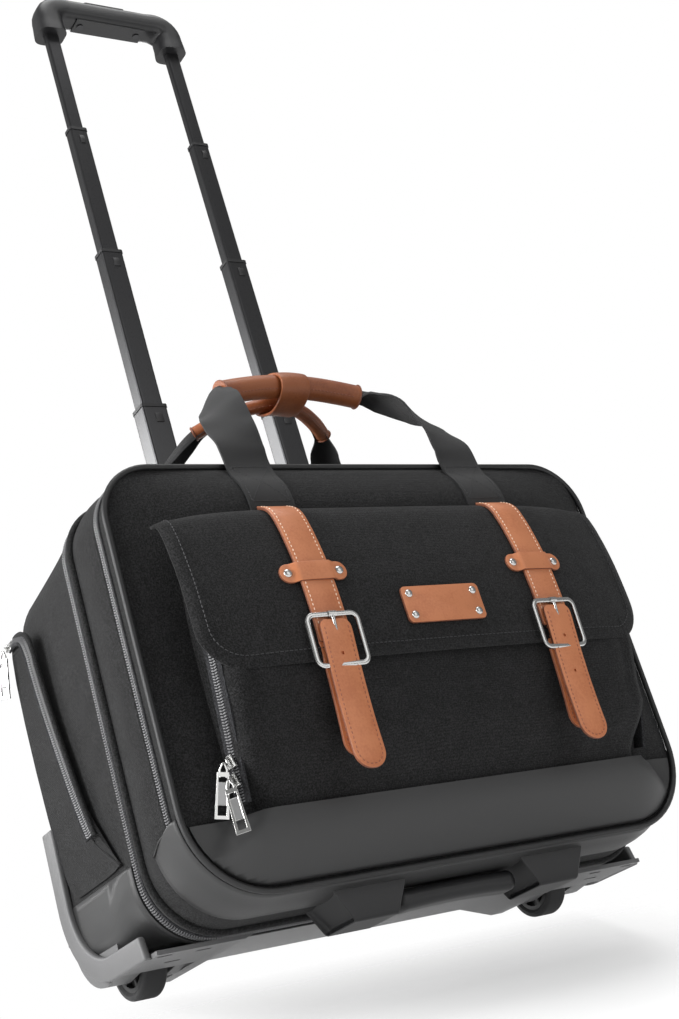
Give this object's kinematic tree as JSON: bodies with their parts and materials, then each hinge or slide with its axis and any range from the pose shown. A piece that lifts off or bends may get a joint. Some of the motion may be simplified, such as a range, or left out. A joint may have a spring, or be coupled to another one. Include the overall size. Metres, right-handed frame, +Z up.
{
  "type": "rolling laptop case",
  "caption": "Soft rolling laptop case with a buckled flap pocket, paired carry handles, telescoping trolley handle, corner wheels and front feet.",
  "frame": {"origin": "on the floor, under the middle of the case's overall box", "axes": "+Z up, -Y the front with the buckled flap, +X the right side seen from the front"},
  "size_m": [0.4738, 0.2539, 0.9245],
  "materials": {
    "canvas": "matt woven polyester",
    "coated_cloth": "smooth black coated cloth",
    "tan_leather": "satin tan leather with light stitching",
    "piping_cord": "black piping",
    "zip_chain": "black nylon coil on tape",
    "webbing": "black nylon webbing",
    "moulded_plastic": "moulded, fine grain",
    "rim_plastic": "grey moulded rim",
    "wheel_rubber": "soft rubber",
    "tube_metal": "black anodised",
    "collar_plastic": "black collar",
    "bright_metal": "polished nickel plate",
    "steel": "zinc plated",
    "board": "black board",
    "lining": "grey lining"
  },
  "bodies": {
    "case": {"rear_compartment": "canvas", "middle_compartment": "canvas", "front_lid": "canvas", "front_pocket": "canvas", "front_band": "coated_cloth", "side_panels": "coated_cloth", "piping": "piping_cord", "zipper_front": "zip_chain", "zipper_main": "zip_chain", "gusset_zippers": "zip_chain", "side_pockets": "canvas", "back_board": "board", "laptop_sleeve": "lining", "base_tray": "moulded_plastic", "wheel_housing_left": "moulded_plastic", "wheel_housing_right": "moulded_plastic", "foot_left": "moulded_plastic", "foot_right": "moulded_plastic", "grab_bar": "moulded_plastic", "axles": "steel", "trolley_outer_tubes": "tube_metal", "trolley_bezel": "moulded_plastic", "handle_webbing": "webbing", "snap_tabs": "tan_leather"},
    "wheel_left": {"tyre_left": "wheel_rubber", "hub_left": "rim_plastic"},
    "wheel_right": {"tyre_right": "wheel_rubber", "hub_right": "rim_plastic"},
    "stage_four": {"stage_four_tubes": "tube_metal", "stage_four_collars": "collar_plastic"},
    "stage_three": {"stage_three_tubes": "tube_metal", "stage_three_collars": "collar_plastic"},
    "stage_two": {"stage_two_tubes": "tube_metal", "stage_two_collars": "collar_plastic"},
    "trolley_grip": {"stage_one_tubes": "tube_metal", "grip_shell": "moulded_plastic", "grip_underside": "moulded_plastic", "grip_screws": "steel"},
    "release": {"release_button": "collar_plastic"},
    "pocket_flap": {"flap": "canvas", "strap_left": "tan_leather", "strap_right": "tan_leather", "keepers": "tan_leather", "label_plate": "tan_leather", "rivets": "bright_metal", "buckles": "bright_metal"},
    "carry_handles": {"front_grip": "tan_leather", "rear_grip": "tan_leather", "handle_wrap": "tan_leather"},
    "gusset_slider_one": {"gusset_slider_upper": "bright_metal"},
    "gusset_pull_one": {"gusset_pull_upper": "bright_metal"},
    "gusset_slider_two": {"gusset_slider_lower": "bright_metal"},
    "gusset_pull_two": {"gusset_pull_lower": "bright_metal"},
    "left_pocket_slider": {"side_slider_left": "bright_metal"},
    "left_pocket_pull": {"side_pull_left": "bright_metal"},
    "right_pocket_slider": {"side_slider_right": "bright_metal"},
    "right_pocket_pull": {"side_pull_right": "bright_metal"},
    "lid_slider": {"front_slider": "bright_metal"},
    "main_zip_slider": {"main_slider": "bright_metal"}
  },
  "joints": [
    {"name": "wheel_left_spin", "type": "hinge", "parent": "case", "child": "wheel_left", "pos_m": [-0.187, 0.096, 0.026], "axis": [1, 0, 0], "continuous": true},
    {"name": "wheel_right_spin", "type": "hinge", "parent": "case", "child": "wheel_right", "pos_m": [0.187, 0.096, 0.026], "axis": [1, 0, 0], "continuous": true},
    {"name": "stage_four_slide", "type": "slide", "parent": "case", "child": "stage_four", "axis": [0, 0, 1], "range_m": [-0.1325, 0]},
    {"name": "stage_three_slide", "type": "slide", "parent": "stage_four", "child": "stage_three", "axis": [0, 0, 1], "range_m": [-0.1545, 0]},
    {"name": "stage_two_slide", "type": "slide", "parent": "stage_three", "child": "stage_two", "axis": [0, 0, 1], "range_m": [-0.1315, 0]},
    {"name": "grip_slide", "type": "slide", "parent": "stage_two", "child": "trolley_grip", "axis": [0, 0, 1], "range_m": [-0.1095, 0]},
    {"name": "release_press", "type": "slide", "parent": "trolley_grip", "child": "release", "axis": [0, 0, -1], "range_m": [0, 0.0035], "stiffness_N_per_m": 800, "springref_m": -0.001},
    {"name": "flap_lift", "type": "hinge", "parent": "case", "child": "pocket_flap", "pos_m": [0, -0.0695, 0.301], "axis": [-1, 0, 0], "range_deg": [0, 75]},
    {"name": "carry_handles_sway", "type": "hinge", "parent": "case", "child": "carry_handles", "pos_m": [0, -0.006, 0.34], "axis": [1, 0, 0], "range_deg": [-12, 12], "deforming": ["handle_webbing"]},
    {"name": "gusset_slider_one_slide", "type": "slide", "parent": "case", "child": "gusset_slider_one", "axis": [0, 0, 1], "range_m": [0, 0.012]},
    {"name": "gusset_pull_one_swing", "type": "hinge", "parent": "gusset_slider_one", "child": "gusset_pull_one", "pos_m": [-0.1903, -0.086, 0.1095], "axis": [0, 1, 0], "range_deg": [0, 80]},
    {"name": "gusset_slider_two_slide", "type": "slide", "parent": "case", "child": "gusset_slider_two", "axis": [0, 0, 1], "range_m": [0, 0.0035]},
    {"name": "gusset_pull_two_swing", "type": "hinge", "parent": "gusset_slider_two", "child": "gusset_pull_two", "pos_m": [-0.1903, -0.097, 0.0965], "axis": [0, 1, 0], "range_deg": [0, 80]},
    {"name": "left_pocket_slider_slide", "type": "slide", "parent": "case", "child": "left_pocket_slider", "axis": [0, -1, 0], "range_m": [0, 0.012]},
    {"name": "left_pocket_pull_swing", "type": "hinge", "parent": "left_pocket_slider", "child": "left_pocket_pull", "pos_m": [-0.2353, 0.1035, 0.268], "axis": [0, 1, 0], "range_deg": [0, 80]},
    {"name": "right_pocket_slider_slide", "type": "slide", "parent": "case", "child": "right_pocket_slider", "axis": [0, -1, 0], "range_m": [0, 0.012]},
    {"name": "right_pocket_pull_swing", "type": "hinge", "parent": "right_pocket_slider", "child": "right_pocket_pull", "pos_m": [0.2353, 0.1035, 0.268], "axis": [0, -1, 0], "range_deg": [0, 80]},
    {"name": "lid_slider_slide", "type": "slide", "parent": "case", "child": "lid_slider", "axis": [0, 0, 1], "range_m": [0, 0.18]},
    {"name": "main_zip_slider_slide", "type": "slide", "parent": "case", "child": "main_zip_slider", "axis": [0, 0, 1], "range_m": [0, 0.18]}
  ]
}
